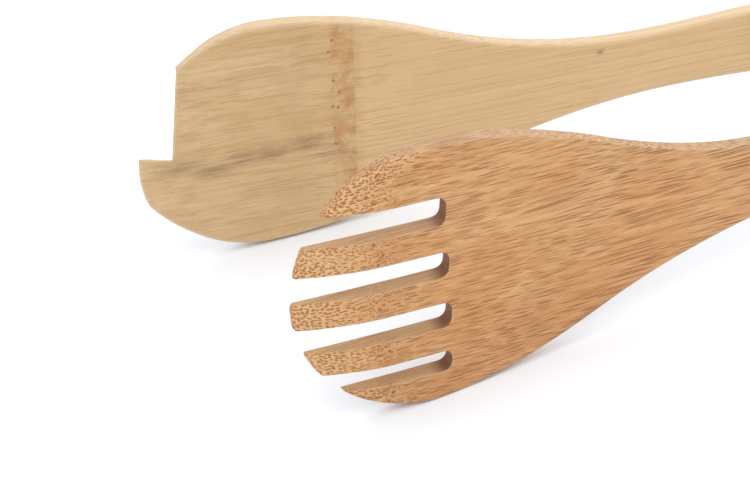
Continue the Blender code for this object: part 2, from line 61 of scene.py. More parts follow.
# The hinge's frame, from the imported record: the pin stands along Z, and the heads are towards -X
JOINTS = {joint["name"]: joint for joint in frame["joints"]}
PIN_POINT = Vector(JOINTS["arm_hinge"]["pos_m"])
PIN_AXIS = Vector(JOINTS["arm_hinge"]["axis"])
LIE_ANGLE = math.atan2(PIN_AXIS.x, PIN_AXIS.z)
HINGE = Matrix.Translation(PIN_POINT) @ Matrix.Rotation(LIE_ANGLE, 4, "Y")
OPEN_ANGLE = math.radians(9.74)

# The arms, in millimetres, as in the CAD source
REACH = 286.5                 # from the pin's axis to the tip of a head
THICKNESS = 4.8
ARM_OFFSET = 7.0              # from the hinge's middle plane to an arm's inner face
ARM_END = 14.0                # from the pin's axis to the hinge end of an arm
BEND_START = 87.0             # from the pin's axis, where an arm starts to curve inwards
NOSE_LENGTH = 32.0            # from the tip to the head's widest place
SHOULDER = (78.0, 20.7, -0.385)       # distance from the tip, half width, slope
NECK = (145.0, 8.55, 0.0)
HANDLE = (215.0, 10.8, 0.0)
TAPER_LENGTH = 22.0
TIP_THICKNESS = 1.1
RIVETS = (262.0, 245.0)       # distance of the rivets from the tip
RIVET_HOLE = 1.8
BRACKET_EDGE = 236.2          # distance from the tip where the spatula narrows to fit its bracket
TANG_HALF_WIDTH = 8.7

# The fork's slots: height of the middle, width and distance of the end from the tip
SLOTS = [(16.4, 6.6, 34.5), (3.4, 6.0, 35.2), (-9.2, 6.0, 35.8), (-20.9, 4.9, 35.8)]
SLOT_SLOPE = math.radians(2.2)        # the slots, and the grain, drop this much from the tip backwards
SLOT_CORNER = 1.9
SLOT_ORIGIN = 16.0            # distance from the tip where a slot's height is given
SLOT_FACE_SHIFT = 0.78        # the outer face's slot ends stand this much further back, for its slope
SLOT_UNDERCUT = 1.24          # and the inner face's this much more
SLOT_TWIST = 0.3              # and again at a slot's upper corner

# The spatula's cut corner and nose
NOTCH_CORNER = (7.75, -1.9)
NOTCH_UPRIGHT = math.radians(83.4)
NOTCH_FOOT = math.radians(168.8)
NOTCH_LEAN = (0.30, -0.55)
NOSE_CORNER = (-13.5, 2.4, 18.0, 10.0)        # height, how far it stands out, span above and below

# Mesh sizes, in millimetres
CUT_ROUNDING = 0.22           # radius of the edges of the slots and of the cut corner
THIN_SHARE = 0.42             # an edge's radius is at most this share of the thickness there
TIP_WEAR = 0.16               # how uneven the sawn and sanded tips are
HOLE_SIDES = 24
FINE_GRID, COARSE_GRID = 0.75, 1.6
FINE = 0.45                   # spacing along the outline of a head's front
COARSE = 1.1
HEAD_FRONT = 42.0             # the fine spacing reaches this far from the tip
ROUNDING = (22.5, 45.0, 67.5, 90.0)   # degrees round an edge at which the mesh has a ring

# The fibres are straighter than the arms, and come out through the outer face towards the tip
RUN_OUT = 1.6
RUN_OUT_START = 33.0
STRAIGHTNESS = 0.25


# Shape rules of an arm

def smooth_step(value, start, end):
    t = np.clip((value - start) / (end - start), 0.0, 1.0)
    return t * t * (3 - 2 * t)


def hermite(value, start, end):
    """Half width between two (distance, half width, slope) places."""
    (x0, y0, m0), (x1, y1, m1) = start, end
    span = x1 - x0
    t = np.clip((value - x0) / span, 0.0, 1.0)
    rise = (2 * t**3 - 3 * t**2 + 1) * y0 + (3 * t**2 - 2 * t**3) * y1
    return rise + span * ((t**3 - 2 * t**2 + t) * m0 + (t**3 - t**2) * m1)


class Arm:
    """One bamboo arm. Its points are (distance from the tip, height, depth from the inner face)."""

    def __init__(self, name, side, bend, widest, edge, grain_slope):
        self.name = name
        self.side = side
        self.bend = bend
        self.widest = widest
        self.edge = edge
        self.grain_slope = grain_slope
        self.frame = HINGE @ Matrix.Rotation(-side * OPEN_ANGLE, 4, "Z")

    def half_width(self, distance):
        places = [(NOSE_LENGTH, self.widest, 0.0), SHOULDER, NECK, HANDLE]
        result = np.full_like(distance, self.widest)
        for start, end in zip(places, places[1:]):
            result = np.where(distance > start[0], hermite(distance, start, end), result)
        return result

    def nose_front(self, across):
        """Distance of the head's front edge from its tip, for an angle across its width."""
        front = NOSE_LENGTH * (1 - np.cos(across))
        if self.name == "spatula":
            height, stand_out, above, below = NOSE_CORNER
            away = self.widest * np.sin(across) - height
            front = front - stand_out * np.maximum(1 - np.abs(away) / np.where(away > 0, above, below), 0.0)
        return front

    def sway(self, distance):
        """How far the arm's middle line strays from the straight."""
        if self.name == "fork":
            back = smooth_step(distance, 165, 235)
            rise = smooth_step(distance, 70, 130) * (1 - back)
            return 0.2 - 0.2 * back - 1.6 * rise
        rise = smooth_step(distance, 95, 185) * (1 - smooth_step(distance, 185, 236))
        return -0.5 * (1 - smooth_step(distance, 60, 110)) + 3.0 * rise

    def inner_face(self, distance):
        """Height of the inner face over the hinge's middle plane, and its slope towards the tip."""
        span = REACH - BEND_START
        run = np.maximum(REACH - distance - BEND_START, 0.0) / span
        return ARM_OFFSET - self.bend * run**2, -2 * self.bend * run / span

    def thickness(self, distance, height):
        """The arm's thickness, which tapers towards the front edge of its head."""
        ahead = (NOSE_LENGTH - distance) / NOSE_LENGTH
        radius = np.hypot(ahead, height / self.widest)
        facing = np.clip(ahead / np.maximum(radius, 1e-6), 0.0, 1.0)
        inside = (1.0 - radius) * NOSE_LENGTH
        run = np.clip(1.0 - inside / (TAPER_LENGTH * np.maximum(facing, 1e-6)), 0.0, 1.0)
        share = 1.0 - (1.0 - TIP_THICKNESS / THICKNESS) * facing * run**2
        return THICKNESS * np.where(ahead > 0.0, share, 1.0)

    def run_out(self, distance):
        """How far the fibres, which the bend and the tip's thinning cut, rise out of the outer face."""
        ahead = np.maximum(RUN_OUT_START - distance, 0.0) / RUN_OUT_START
        bent = np.maximum(REACH - distance - BEND_START, 0.0) / (REACH - BEND_START)
        return RUN_OUT * ahead**2 + STRAIGHTNESS * self.bend * bent**2

    def place(self, distance, height, depth):
        """Points in the row frame, in metres."""
        rise, slope = self.inner_face(distance)
        length = np.hypot(1.0, slope)
        x = distance - REACH + depth * slope / length
        y = self.side * (rise + depth / length)
        points = np.stack((x, y, height + self.sway(distance)), axis=1) * MM
        turn = np.array(self.frame.to_3x3())
        return points @ turn.T + np.array(self.frame.translation)


FORK = Arm("fork", -1, 19.7, 31.0, 0.55, SLOT_SLOPE)
SPATULA = Arm("spatula", 1, 4.7, 29.9, 1.3, math.radians(0.5))


# Outlines, as closed counter-clockwise loops of (distance, height)

def slot_point(slot, along, across):
    """A point of a slot's own frame in the arm's distance and height."""
    height = slot[0]
    x = (along - SLOT_ORIGIN) * math.cos(SLOT_SLOPE) + across * math.sin(SLOT_SLOPE) + SLOT_ORIGIN
    z = across * math.cos(SLOT_SLOPE) - (along - SLOT_ORIGIN) * math.sin(SLOT_SLOPE) + height
    return np.array((x + SLOT_FACE_SHIFT, z - FORK.sway(0.0)))


def slot_across(slot, distance, height):
    """How far points lie across from a slot's middle line."""
    x = distance - SLOT_FACE_SHIFT - SLOT_ORIGIN
    z = height + FORK.sway(0.0) - slot[0]
    return x * math.sin(SLOT_SLOPE) + z * math.cos(SLOT_SLOPE)


def slot_path(slot):
    """The slot's wall from the nose in along its lower edge, round its end and out again."""
    half, end = slot[1] / 2, slot[2]
    inner = half - SLOT_CORNER
    points = []
    for sign in (-1, 1):
        start = 0.0
        while True:
            x, z = slot_point(slot, start, sign * half)
            if x > FORK.nose_front(math.asin(min(abs(z) / FORK.widest, 1.0))):
                break
            start += 0.02
        straight = [slot_point(slot, u, sign * half) for u in np.arange(start, end - SLOT_CORNER, FINE)]
        angles = np.radians(np.linspace(-90, 0, 7)) if sign < 0 else np.radians(np.linspace(0, 90, 7))
        corner = [
            slot_point(slot, end - SLOT_CORNER + SLOT_CORNER * math.cos(a),
                       sign * inner + SLOT_CORNER * math.sin(a))
            for a in angles
        ]
        points += straight + corner if sign < 0 else corner + straight[::-1]
    return points


def nose_points(arm):
    across = np.linspace(-math.pi / 2, math.pi / 2, 420)
    return np.stack((arm.nose_front(across), arm.widest * np.sin(across)), axis=1)


def fork_front():
    """The fork's front edge from its lower side to its upper side, in and out of every slot."""
    nose = nose_points(FORK)
    offsets = np.stack([slot_across(slot, nose[:, 0], nose[:, 1]) for slot in SLOTS])
    points, kinds = [], []
    lowest_first = sorted(range(len(SLOTS)), key=lambda k: SLOTS[k][0])
    bounds = [None] + lowest_first + [None]
    for below, above in zip(bounds, bounds[1:]):
        keep = np.ones(len(nose), bool)
        if below is not None:
            keep &= offsets[below] > SLOTS[below][1] / 2
        if above is not None:
            keep &= offsets[above] < -SLOTS[above][1] / 2
        points += list(nose[keep])
        kinds += [0] * int(keep.sum())
        if above is not None:
            wall = slot_path(SLOTS[above])
            points += wall
            kinds += [1] * len(wall)
    return np.array(points), np.array(kinds)


def spatula_front():
    """The spatula's front edge from its lower side to its upper side, round the cut corner."""
    nose = nose_points(SPATULA)
    corner = np.array(NOTCH_CORNER)
    up = np.array((math.cos(NOTCH_UPRIGHT), math.sin(NOTCH_UPRIGHT)))
    foot = np.array((math.cos(NOTCH_FOOT), math.sin(NOTCH_FOOT)))
    away = nose - corner
    over_foot = foot[0] * away[:, 1] - foot[1] * away[:, 0] < 0
    before_upright = up[0] * away[:, 1] - up[1] * away[:, 0] > 0
    cut = over_foot & before_upright
    first, last = np.flatnonzero(cut)[[0, -1]]
    foot_length = (nose[first] - corner) @ foot
    up_length = (nose[last] - corner) @ up
    foot_edge = [corner + foot * s for s in np.arange(foot_length, 0.0, -FINE)]
    upright = [corner + up * s for s in np.arange(0.0, up_length, FINE)]
    points = list(nose[:first]) + foot_edge + upright + list(nose[last + 1:])
    kinds = [0] * first + [1] * (len(foot_edge) + len(upright)) + [0] * (len(nose) - last - 1)
    return np.array(points), np.array(kinds)


def arm_outline(arm):
    """The arm's outline and, for each point, 1 on a cut edge and 0 elsewhere."""
    front, kinds = fork_front() if arm.name == "fork" else spatula_front()
    end = REACH - ARM_END
    side = np.arange(NOSE_LENGTH + 0.5, end, 0.5)
    width = arm.half_width(side)
    if arm.name == "spatula":
        width = np.where(side > BRACKET_EDGE, TANG_HALF_WIDTH, width)
    upper = np.stack((side, width), axis=1)
    lower = np.stack((side, -width), axis=1)[::-1]
    closing = np.arange(width[-1], -width[-1], -COARSE)
    back = np.stack((np.full(len(closing), end), closing), axis=1)
    points = np.concatenate((front, upper, back, lower))
    kinds = np.concatenate((kinds, np.zeros(len(upper) + len(back) + len(lower), int)))
    return points[::-1], kinds[::-1]


def resample(points, kinds):
    """The closed loop again with even spacing: fine round the head's front and coarse elsewhere."""
    closed = np.concatenate((points, points[:1]))
    lengths = np.linalg.norm(np.diff(closed, axis=0), axis=1)
    spacing = np.where(points[:, 0] < HEAD_FRONT, FINE, COARSE)
    count = np.concatenate(([0.0], np.cumsum(lengths / spacing)))
    total = int(round(count[-1]))
    marks = np.arange(total) * count[-1] / total
    x = np.interp(marks, count, closed[:, 0])
    z = np.interp(marks, count, closed[:, 1])
    kind = np.interp(marks, count, np.append(kinds, kinds[0]))
    return np.stack((x, z), axis=1), kind


def soften(points, weight, rounds):
    """Round the loop's corners a little."""
    for _ in range(rounds):
        middle = (np.roll(points, 1, axis=0) + np.roll(points, -1, axis=0)) / 2
        points = points + weight[:, None] * (middle - points)
    return points


def outward_normals(loop):
    """Unit normals that point out of a clockwise or counter-clockwise loop."""
    step = np.roll(loop, -1, axis=0) - np.roll(loop, 1, axis=0)
    normal = np.stack((step[:, 1], -step[:, 0]), axis=1)
    normal /= np.linalg.norm(normal, axis=1)[:, None]
    return normal if turning(loop) > 0 else -normal


def nearest_on_loop(points, loop):
    """Distance from each point to a closed loop, and the loop's nearest vertex."""
    ends = np.roll(loop, -1, axis=0)
    run = ends - loop
    square = np.maximum(np.sum(run**2, axis=1), 1e-12)
    distance = np.empty(len(points))
    vertex = np.empty(len(points), int)
    for first in range(0, len(points), 800):
        part = points[first:first + 800]
        gap = part[:, None, :] - loop[None]
        t = np.clip(np.sum(gap * run[None], axis=2) / square, 0.0, 1.0)
        away = np.linalg.norm(gap - t[:, :, None] * run[None], axis=2)
        best = np.argmin(away, axis=1)
        distance[first:first + 800] = away[np.arange(len(part)), best]
        far_end = t[np.arange(len(part)), best] > 0.5
        vertex[first:first + 800] = (best + far_end) % len(loop)
    return distance, vertex


def inside_loop(points, loop):
    """Whether each point lies inside a closed loop."""
    ends = np.roll(loop, -1, axis=0)
    x, z = points[:, 0][:, None], points[:, 1][:, None]
    crosses = (loop[:, 1][None] > z) != (ends[:, 1][None] > z)
    rise = ends[:, 1] - loop[:, 1]
    rise = np.where(np.abs(rise) < 1e-12, 1e-12, rise)
    at = loop[:, 0][None] + (z - loop[:, 1][None]) / rise[None] * (ends[:, 0] - loop[:, 0])[None]
    return (np.sum(crosses & (x < at), axis=1) % 2) == 1


# The arms' meshes

def edge_drop(inset, radius):
    """How far a rounded edge falls below its face at an inset from the outline."""
    t = np.clip(1.0 - inset / radius, 0.0, 1.0)
    return radius * (1.0 - np.sqrt(1.0 - t**2))


def grid_points(arm, loop, holes, radius):
    """Points inside the outline, close together towards the tip, and clear of every edge."""
    fine_x = np.arange(0.3, HEAD_FRONT, FINE_GRID)
    coarse_x = np.arange(HEAD_FRONT, REACH - ARM_END, COARSE_GRID)
    points = []
    for xs, step in ((fine_x, FINE_GRID), (coarse_x, COARSE_GRID)):
        zs = np.arange(-arm.widest, arm.widest, step)
        x, z = np.meshgrid(xs, zs)
        x = x + (np.arange(len(zs)) % 2)[:, None] * step / 2
        points.append(np.stack((x.ravel(), z.ravel()), axis=1))
    points = np.concatenate(points)
    points = points[np.abs(points[:, 1]) < arm.half_width(points[:, 0])]
    inside = np.concatenate([inside_loop(points[i:i + 2000], loop) for i in range(0, len(points), 2000)])
    points = points[inside]
    distance, vertex = nearest_on_loop(points, loop)
    points = points[distance > radius[vertex] + 0.3]
    for hole in holes:
        away = np.linalg.norm(points - hole.mean(axis=0), axis=1)
        points = points[away > RIVET_HOLE + 0.6]
    return points


def add_attribute(mesh, name, kind, values):
    attribute = mesh.attributes.new(name, kind, "POINT")
    key = "vector" if kind == "FLOAT_VECTOR" else "value"
    attribute.data.foreach_set(key, np.asarray(values, np.float32).ravel())


def turning(loop):
    """Twice the loop's signed area, which is above zero if it runs counter-clockwise."""
    return np.sum(loop[:, 0] * np.roll(loop[:, 1], -1) - np.roll(loop[:, 0], -1) * loop[:, 1])


def rounded_outline(arm):
    """The arm's outline, 1 or 0 for cut or plain edges, and the radius of the edge at each point."""
    loop, kinds = resample(*arm_outline(arm))
    if arm.name == "fork":
        loop = soften(loop, np.where(loop[:, 0] < HEAD_FRONT, 0.5, 0.0), 2)
        wear = np.array([noise.noise(Vector((p[0] * 0.9, p[1] * 0.9, 3.0))) for p in loop])
        near_tip = 1.0 - smooth_step(loop[:, 0], 2.0, 16.0)
        loop = loop - outward_normals(loop) * (TIP_WEAR * near_tip * (1 - kinds) * (0.6 + wear))[:, None]
    radius = arm.edge * (1 - kinds) + CUT_ROUNDING * kinds
    radius = np.minimum(radius, THIN_SHARE * arm.thickness(loop[:, 0], loop[:, 1]))
    return loop, kinds, radius


def rounding_rings(loop, normal, radius):
    """Points on rings inside the outline, where the rounded edge needs them."""
    rings = []
    for angle in ROUNDING:
        inset = radius * (1 - math.cos(math.radians(angle)))
        ring = loop - normal * inset[:, None]
        gap, _ = nearest_on_loop(ring, loop)
        rings.append(ring[gap > 0.96 * inset])
    return rings


def flat_mesh(arm, loop, normal, radius):
    """The arm's face seen flat: its points and triangles, its loops, and their points' numbers."""
    circle = np.linspace(0, 2 * math.pi, HOLE_SIDES, endpoint=False)
    ring = RIVET_HOLE * np.stack((np.cos(circle), np.sin(circle)), axis=1)
    holes = [ring + (x, 0.0) for x in RIVETS]
    free = np.concatenate(rounding_rings(loop, normal, radius) + [grid_points(arm, loop, holes, radius)])
    loops = [loop] + holes
    coords = np.concatenate(loops + [free])
    edges, first = [], 0
    for ring in loops:
        count = len(ring)
        edges += [(first + i, first + (i + 1) % count) for i in range(count)]
        first += count
    flat, _, triangles, origin, _, _ = delaunay_2d_cdt(
        [Vector(p) for p in coords], edges, [list(range(len(loop)))], 1, 1e-6
    )
    flat = np.array([tuple(p) for p in flat])
    index = np.full(len(coords), -1)
    for new, old in enumerate(origin):
        index[list(old)] = new
    triangles = np.array(triangles)
    centres = flat[triangles].mean(axis=1)
    in_hole = np.zeros(len(centres), bool)
    for hole in holes:
        in_hole |= np.linalg.norm(centres - hole.mean(axis=0), axis=1) < RIVET_HOLE * 0.999
    return flat, triangles[~in_hole], loops, index


def leaning_walls(arm, x, z, thickness):
    """Where the inner and the outer face's points go, for slots and cuts whose walls lean."""
    if arm.name == "fork":
        undercut = smooth_step(x, 24, 34) * (1 - smooth_step(x, 38, 50))
        upper = sum(np.maximum(1 - np.abs(2 * slot_across(slot, x, z) / slot[1] - 1), 0) for slot in SLOTS)
        return x + (SLOT_UNDERCUT + SLOT_TWIST * upper) * undercut, z, x, z
    near = np.exp(-(np.hypot(x - NOTCH_CORNER[0], np.minimum(z - NOTCH_CORNER[1], 0)) / 6.0) ** 2)
    return x, z, x + NOTCH_LEAN[0] * thickness * near, z + NOTCH_LEAN[1] * thickness * near


def closed_faces(arm, loops, index, triangles, count):
    """The outer face, the inner face under it, and the walls between them."""
    sheet = [tuple(t) for t in triangles]
    back_sheet = [tuple(count + i for i in t[::-1]) for t in sheet]
    walls, first = [], 0
    for number, ring in enumerate(loops):
        ids = index[first:first + len(ring)]
        first += len(ring)
        pairs = list(zip(ids, np.roll(ids, -1)))
        if number > 0 or turning(ring) < 0:
            pairs = [(b, a) for a, b in pairs]
        walls += [(a, a + count, b + count, b) for a, b in pairs]
    faces = sheet + back_sheet + walls
    if arm.side < 0:
        faces = [f[::-1] for f in faces]
    return [[int(i) for i in f] for f in faces]


def add_grain(mesh, arm, x, z, depth):
    """Attributes that tell the material where a point lies and how its face cuts the fibres."""
    cosine, sine = math.cos(arm.grain_slope), math.sin(arm.grain_slope)
    grain = np.stack((x * cosine - z * sine, x * sine + z * cosine, depth - arm.run_out(x)), axis=1)
    add_attribute(mesh, "grain", "FLOAT_VECTOR", grain)
    add_attribute(mesh, "place", "FLOAT_VECTOR", np.stack((x, z, depth), axis=1))
    normals = np.empty(len(mesh.vertices) * 3)
    mesh.vertices.foreach_get("normal", normals)
    normals = normals.reshape(-1, 3)
    climb = arm.run_out(x + 0.5) - arm.run_out(x - 0.5)
    along = arm.place(x + 0.5, z, depth + climb / 2) - arm.place(x - 0.5, z, depth - climb / 2)
    along /= np.linalg.norm(along, axis=1)[:, None]
    add_attribute(mesh, "end_grain", "FLOAT", np.abs(np.sum(normals * along, axis=1)))


def arm_mesh(arm):
    """The arm's closed mesh, with rounded edges, slots, holes for the rivets and grain coordinates."""
    loop, kinds, radius = rounded_outline(arm)
    flat, triangles, loops, index = flat_mesh(arm, loop, outward_normals(loop), radius)
    inset, vertex = nearest_on_loop(flat, loop)
    local_radius = radius[vertex]
    x, z = flat[:, 0], flat[:, 1]
    thickness = arm.thickness(x, z)
    drop = edge_drop(inset, local_radius)
    inner_x, inner_z, outer_x, outer_z = leaning_walls(arm, x, z, thickness)
    outer = arm.place(outer_x, outer_z, thickness - drop)
    inner = arm.place(inner_x, inner_z, drop)
    mesh = bpy.data.meshes.new(f"{arm.name}_arm_bamboo")
    faces = closed_faces(arm, loops, index, triangles, len(flat))
    mesh.from_pydata(np.concatenate((outer, inner)).tolist(), [], faces)
    mesh.validate()
    mesh.update()

    add_grain(mesh, arm, np.tile(x, 2), np.tile(z, 2), np.concatenate((thickness - drop, drop)))
    # The rounded edges' band, which the material paints paler and greyer as a highlight
    band = 1.0 - smooth_step(inset, 0.3 * local_radius, local_radius + 0.25)
    add_attribute(mesh, "edge", "FLOAT", np.tile(band, 2))
    wall = kinds[vertex] * (1.0 - smooth_step(inset, 0.05, 0.18))
    # The deep ends of the slots, which the material paints darker: scorched end grain and painted shade
    add_attribute(mesh, "scorch_and_shade", "FLOAT", np.tile(wall * smooth_step(x, 31.0, 35.5), 2))
    add_attribute(mesh, "wall", "FLOAT", np.tile(wall, 2))
    return mesh


# Shader helpers

class Nodes:
    """A material's node tree, with one short call for each kind of node."""

    def __init__(self, name):
        self.material = bpy.data.materials.new(name)
        self.material.use_nodes = True
        self.tree = self.material.node_tree
        self.shader = self.tree.nodes["Principled BSDF"]

    def add(self, kind, inputs=None, **settings):
        node = self.tree.nodes.new(kind)
        for key, value in settings.items():
            setattr(node, key, value)
        for key, value in (inputs or {}).items():
            self.set(node.inputs[key], value)
        return node

    def set(self, socket, value):
        if isinstance(value, bpy.types.NodeSocket):
            self.tree.links.new(value, socket)
        else:
            socket.default_value = value

    def math(self, operation, first, second=0.0, clamp=False):
        node = self.add("ShaderNodeMath", {0: first, 1: second}, operation=operation, use_clamp=clamp)
        return node.outputs[0]

    def centred(self, value):
        """A texture's 0 to 1 as -0.5 to 0.5."""
        return self.math("SUBTRACT", value, 0.5)

    def smooth(self, value, low, high):
        """A smooth step from 0 at low to 1 at high, or down again if high is less than low."""
        ends = (0.0, 1.0) if low < high else (1.0, 0.0)
        node = self.add("ShaderNodeMapRange", {
            "Value": value, "From Min": min(low, high), "From Max": max(low, high),
            "To Min": ends[0], "To Max": ends[1],
        }, interpolation_type="SMOOTHSTEP")
        return node.outputs[0]

    def scale(self, vector, factors):
        node = self.add("ShaderNodeVectorMath", {0: vector, 1: factors}, operation="MULTIPLY")
        return node.outputs[0]

    def shift(self, vector, offset):
        node = self.add("ShaderNodeVectorMath", {0: vector, 1: offset}, operation="ADD")
        return node.outputs[0]

    def noise(self, vector, detail=2.0, roughness=0.5):
        node = self.add("ShaderNodeTexNoise", {
            "Vector": vector, "Scale": 1.0, "Detail": detail, "Roughness": roughness,
        })
        return node.outputs["Fac"]

    def cells(self, vector, randomness=1.0):
        """Distance to the nearest seed and that cell's random number."""
        node = self.add("ShaderNodeTexVoronoi", voronoi_dimensions="2D")
        for key, value in (("Vector", vector), ("Scale", 1.0), ("Randomness", randomness)):
            self.set(node.inputs[key], value)
        return node.outputs["Distance"], self.split(node.outputs["Color"])[0]

    def split(self, vector):
        return self.add("ShaderNodeSeparateXYZ", {0: vector}).outputs

    def join(self, x, y, z):
        return self.add("ShaderNodeCombineXYZ", {0: x, 1: y, 2: z}).outputs[0]

    def mix(self, factor, first, second):
        node = self.add("ShaderNodeMix", {0: factor}, data_type="RGBA")
        for socket, value in zip(node.inputs[6:8], (first, second)):
            self.set(socket, (*value, 1.0) if isinstance(value, tuple) else value)
        return node.outputs[2]

    def attribute(self, name, output="Fac"):
        return self.add("ShaderNodeAttribute", attribute_name=name).outputs[output]

    def bump(self, height, distance, strength=1.0):
        node = self.add("ShaderNodeBump", {"Height": height, "Distance": distance, "Strength": strength})
        return node.outputs["Normal"]

    def finish(self, color, roughness, normal=None, **constants):
        self.set(self.shader.inputs["Base Color"], (*color, 1.0) if isinstance(color, tuple) else color)
        self.set(self.shader.inputs["Roughness"], roughness)
        if normal is not None:
            self.set(self.shader.inputs["Normal"], normal)
        for name, value in constants.items():
            self.shader.inputs[name.replace("_", " ")].default_value = value
        return self.material


def srgb(red, green, blue):
    """A colour given as 0 to 255 sRGB, in linear values."""
    values = np.array((red, green, blue)) / 255
    linear = np.where(values <= 0.04045, values / 12.92, ((values + 0.055) / 1.055) ** 2.4)
    return tuple(float(v) for v in linear)


# Materials

def marks(n, warp, places, stretch, size, soft):
    """1 at each (distance, height) place, fading out from size over soft millimetres."""
    flat = n.scale(n.shift(n.attribute("place", "Vector"), warp), (1 / stretch, 1.0, 0.0))
    total = 0.0
    for x, z in places:
        away = n.add("ShaderNodeVectorMath", {0: flat, 1: (x / stretch, z, 0.0)}, operation="DISTANCE")
        total = n.math("MAXIMUM", total, n.smooth(away.outputs["Value"], size + soft, size))
    return total


def bamboo(name, look):
    """Bamboo with a node: dark fibre bundles in a paler ground, long on a face, short on a cut."""
    n = Nodes(name)
    grain = n.attribute("grain", "Vector")
    cut_across = n.attribute("end_grain")
    edge = n.attribute("edge")
    wall = n.attribute("wall")
    x, z, _ = n.split(n.attribute("place", "Vector"))

    # The fibres wander, and curl round the node
    wander = n.centred(n.noise(n.scale(grain, (0.02, 0.07, 0.07)), 1.0))
    curl = n.centred(n.noise(n.scale(n.shift(grain, (9.0, 4.0, 0.0)), look["curl_scale"]), 2.0))
    near_node = n.smooth(n.math("ABSOLUTE", n.math("SUBTRACT", x, look["node"])), look["node_reach"], 0.0)
    curl = n.math("MULTIPLY", n.math("MULTIPLY", near_node, curl), look["curl"])
    sideways = n.math("ADD", n.math("MULTIPLY", wander, 2.2), n.math("MULTIPLY", curl, 0.7))
    inwards = n.math("ADD", n.math("MULTIPLY", wander, 1.2), curl)
    along, across, deep = n.split(n.shift(grain, n.join(0.0, sideways, inwards)))

    # Fibre bundles and threads are endless rods, seen as a Voronoi pattern of their cross section
    width, depth = look["bundle"]
    section = n.join(n.math("DIVIDE", across, width), n.math("DIVIDE", deep, depth), 0.0)
    near, lot = n.cells(section, 0.85)
    come_and_go = n.noise(n.join(n.math("MULTIPLY", along, look["break_up"]),
                                 n.math("MULTIPLY", across, 1.4),
                                 n.math("MULTIPLY", deep, 1.4)), 2.0)
    near = n.math("SUBTRACT", near, n.math("MULTIPLY", n.smooth(cut_across, 0.16, 0.4), 0.13))
    bundle = n.math("MULTIPLY", n.smooth(near, 0.35, 0.18), n.smooth(lot, -0.3, 0.5))
    gate = n.math("MAXIMUM", n.smooth(come_and_go, 0.34, 0.52),
                  n.math("MAXIMUM", n.smooth(cut_across, 0.18, 0.35), near_node))
    gate = n.math("ADD", n.math("MULTIPLY", gate, 0.62), 0.38)
    bundle = n.math("MULTIPLY", bundle, gate)
    near, lot = n.cells(n.scale(n.shift(section, (7.3, 2.1, 0.0)), (2.3, 2.3, 0.0)), 1.0)
    thread = n.math("MULTIPLY", n.smooth(near, 0.55, 0.15), n.smooth(lot, 0.25, 0.9))
    thread = n.math("MULTIPLY", thread, n.smooth(come_and_go, 0.62, 0.36))

    near, lot = n.cells(n.scale(n.shift(section, (3.1, 8.4, 0.0)), (1.5, 1.5, 0.0)), 1.0)
    glint = n.math("MULTIPLY", n.smooth(near, 0.42, 0.18), n.smooth(lot, 0.3, 0.7))
    glint = n.math("MULTIPLY", glint, n.smooth(come_and_go, 0.36, 0.60))

    # The ground between them, and painted shade on the lower part of the head
    ground = n.noise(n.join(n.math("MULTIPLY", along, 0.022), n.math("MULTIPLY", across, 0.7),
                            n.math("MULTIPLY", deep, 0.7)), 4.0, 0.7)
    patch = n.noise(n.scale(grain, (0.035, 0.08, 0.1)), 2.0)
    color = n.mix(n.smooth(ground, 0.33, 0.67), look["mid"], look["light"])
    color = n.mix(n.math("MULTIPLY", n.smooth(patch, 0.38, 0.68), look["warmth"]), color, look["warm"])
    # Painted shade: darker and redder towards the head's lower side, where less light falls from above
    color = n.mix(n.math("MULTIPLY", n.smooth(z, look["low"][0], look["low"][1]), look["low_shade_tint"]), color,
                  look["low_shade_color"])

    cloud = n.noise(n.scale(n.shift(grain, (0.0, 0.0, 30.0)), (0.09, 0.16, 0.1)), 3.0, 0.6)
    color = n.mix(n.math("MULTIPLY", n.smooth(cloud, 0.35, 0.7), look["cloud"]), color, look["dark"])
    if "pale" in look:
        pale = n.math("MULTIPLY", n.smooth(x, *look["pale"]), look["pale_tint"])
        color = n.mix(pale, color, look["pale_color"])

    # The node: a blotched band with a crisp edge on the handle's side
    start, end = look["band"]
    band = n.math("MULTIPLY", n.smooth(x, start, start + 2.0), n.smooth(x, end, end - 0.7))
    blotch = n.noise(n.scale(n.shift(grain, (0.0, 20.0, 0.0)), (0.30, 0.24, 0.1)), 4.0, 0.7)
    blotch = n.math("MULTIPLY", n.smooth(blotch, 0.36, 0.68), band)
    color = n.mix(n.math("MULTIPLY", blotch, look["band_tint"]), color, look["band_color"])

    # Bundles are faint where they run along a face and dark where it cuts them
    slow = n.noise(n.scale(n.shift(grain, (50.0, 0.0, 0.0)), (0.05, 0.14, 0.2)), 2.0)
    faint = n.math("MULTIPLY", n.math("ADD", n.math("MULTIPLY", n.smooth(slow, 0.3, 0.65), 0.35), 0.65),
                   look["contrast"])
    crossed = n.smooth(cut_across, 0.08, 0.40)
    strength = n.math("MULTIPLY", faint, n.math("SUBTRACT", 1.0, n.math("MULTIPLY", wall, 0.4)))
    bright = n.math("MULTIPLY", crossed, n.math("SUBTRACT", 1.0, bundle))
    color = n.mix(n.math("MULTIPLY", bright, look["cut_light"]), color, look["net"])
    # Painted highlight: the rounded edges paler and greyer, as a soft sheen along them, except where they
    # cut across the fibres
    edge_highlight_tint = n.math("MULTIPLY", n.smooth(cut_across, *look["edge_cut"]), look["edge_highlight_tint"])
    color = n.mix(n.math("MULTIPLY", edge, edge_highlight_tint), color, look["edge_highlight_color"])
    # The cut walls' tint: on the fork's slot walls it is painted shade, darker and greyer than the faces,
    # with the cut's greyer tone; on the spatula's cut corner it is a paler tone
    color = n.mix(n.math("MULTIPLY", wall, look["wall_tone_and_shade_tint"]), color, look["wall_tone_and_shade_color"])
    color = n.mix(n.math("MULTIPLY", glint, look["glint"]), color, look["net"])
    dark = n.mix(crossed, look["dark"], look["cut_dark"])
    color = n.mix(n.math("MULTIPLY", thread, n.math("MULTIPLY", strength, 0.85)), color, dark)
    color = n.mix(n.math("MULTIPLY", bundle, strength, clamp=True), color, dark)
